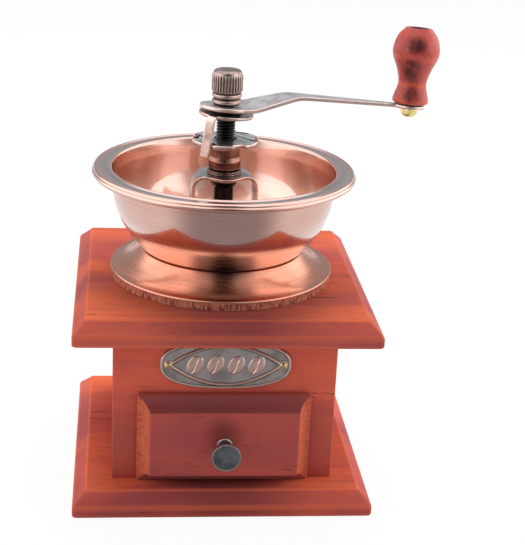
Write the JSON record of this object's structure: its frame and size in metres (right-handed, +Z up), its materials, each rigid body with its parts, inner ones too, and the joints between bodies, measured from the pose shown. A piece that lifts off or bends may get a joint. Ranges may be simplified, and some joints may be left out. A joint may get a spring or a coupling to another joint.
{
  "type": "manual coffee grinder",
  "caption": "Wooden box mill with a drawer, an open copper hopper bowl and a top crank with a wooden grip.",
  "frame": {"origin": "middle of the base board's underside, on the shaft's axis", "axes": "+Z up along the shaft, -Y towards the drawer side, +X towards the grip at rest"},
  "size_m": [0.1574, 0.1351, 0.2026],
  "materials": {
    "cherry_wood": "satin reddish stain over fine horizontal grain",
    "plain_wood": "bare planed softwood",
    "grip_wood": "dark semi-gloss stain",
    "copper": "steel plated in brushed rose copper",
    "antique_copper": "steel plated in dark antique copper with worn edges",
    "black_steel": "blackened and oiled",
    "cast_iron": "as cast, teeth ground",
    "steel": "zinc plated",
    "brass": "polished",
    "pewter": "antique pewter plating with rubbed edges"
  },
  "bodies": {
    "stand": {"base_board": "cherry_wood", "top_board": "cherry_wood", "box_front": "cherry_wood", "box_back": "cherry_wood", "box_side_left": "cherry_wood", "box_side_right": "cherry_wood", "drawer_guide_left": "plain_wood", "drawer_guide_right": "plain_wood", "base_screw_front_left": "steel", "base_screw_front_right": "steel", "base_screw_back_left": "steel", "base_screw_back_right": "steel", "badge_plate": "pewter", "badge_nail_left": "brass", "badge_nail_right": "brass", "burr_housing": "cast_iron", "housing_screw_1": "steel", "housing_screw_2": "steel", "housing_screw_3": "steel", "hopper_collar": "copper", "hopper_bowl": "copper", "ring_burr": "cast_iron", "bearing_strap": "steel", "strap_screw_left": "steel", "strap_screw_right": "steel", "bridge": "antique_copper", "bridge_screw_left": "steel", "bridge_screw_right": "steel", "bridge_bush": "black_steel"},
    "drawer": {"drawer_front": "cherry_wood", "drawer_side_left": "plain_wood", "drawer_side_right": "plain_wood", "drawer_back": "plain_wood", "drawer_bottom": "plain_wood", "drawer_knob": "pewter", "drawer_knob_screw": "steel"},
    "spindle": {"cone_burr": "cast_iron", "shaft_spring": "steel", "spring_washer": "steel", "tail_nut": "steel", "shaft": "black_steel", "thrust_washer": "antique_copper", "latch_plate": "antique_copper", "head_spacer": "black_steel", "crank_arm": "antique_copper", "grip_bolt": "steel", "acorn_nut": "brass"},
    "adjuster": {"adjuster_sleeve": "antique_copper", "star_wheel": "antique_copper"},
    "cap_nut": {"cap_nut": "antique_copper"},
    "grip": {"grip": "grip_wood"}
  },
  "joints": [
    {"name": "crank_turn", "type": "hinge", "parent": "stand", "child": "spindle", "pos_m": [0, 0, 0.12], "axis": [0, 0, 1], "continuous": true},
    {"name": "grip_spin", "type": "hinge", "parent": "spindle", "child": "grip", "pos_m": [0.08059, 0.00016, 0.16794], "axis": [0.0628, 0.0766, 0.9951], "continuous": true},
    {"name": "cap_nut_turn", "type": "hinge", "parent": "spindle", "child": "cap_nut", "pos_m": [0, 0, 0.175], "axis": [0, 0, 1], "range_deg": [0, 2160]},
    {"name": "adjuster_play", "type": "hinge", "parent": "spindle", "child": "adjuster", "pos_m": [0, 0, 0.15], "axis": [0, 0, 1], "range_deg": [-1.2, 1.2]},
    {"name": "drawer_slide", "type": "slide", "parent": "stand", "child": "drawer", "axis": [0, -1, 0], "range_m": [0, 0.086]}
  ]
}
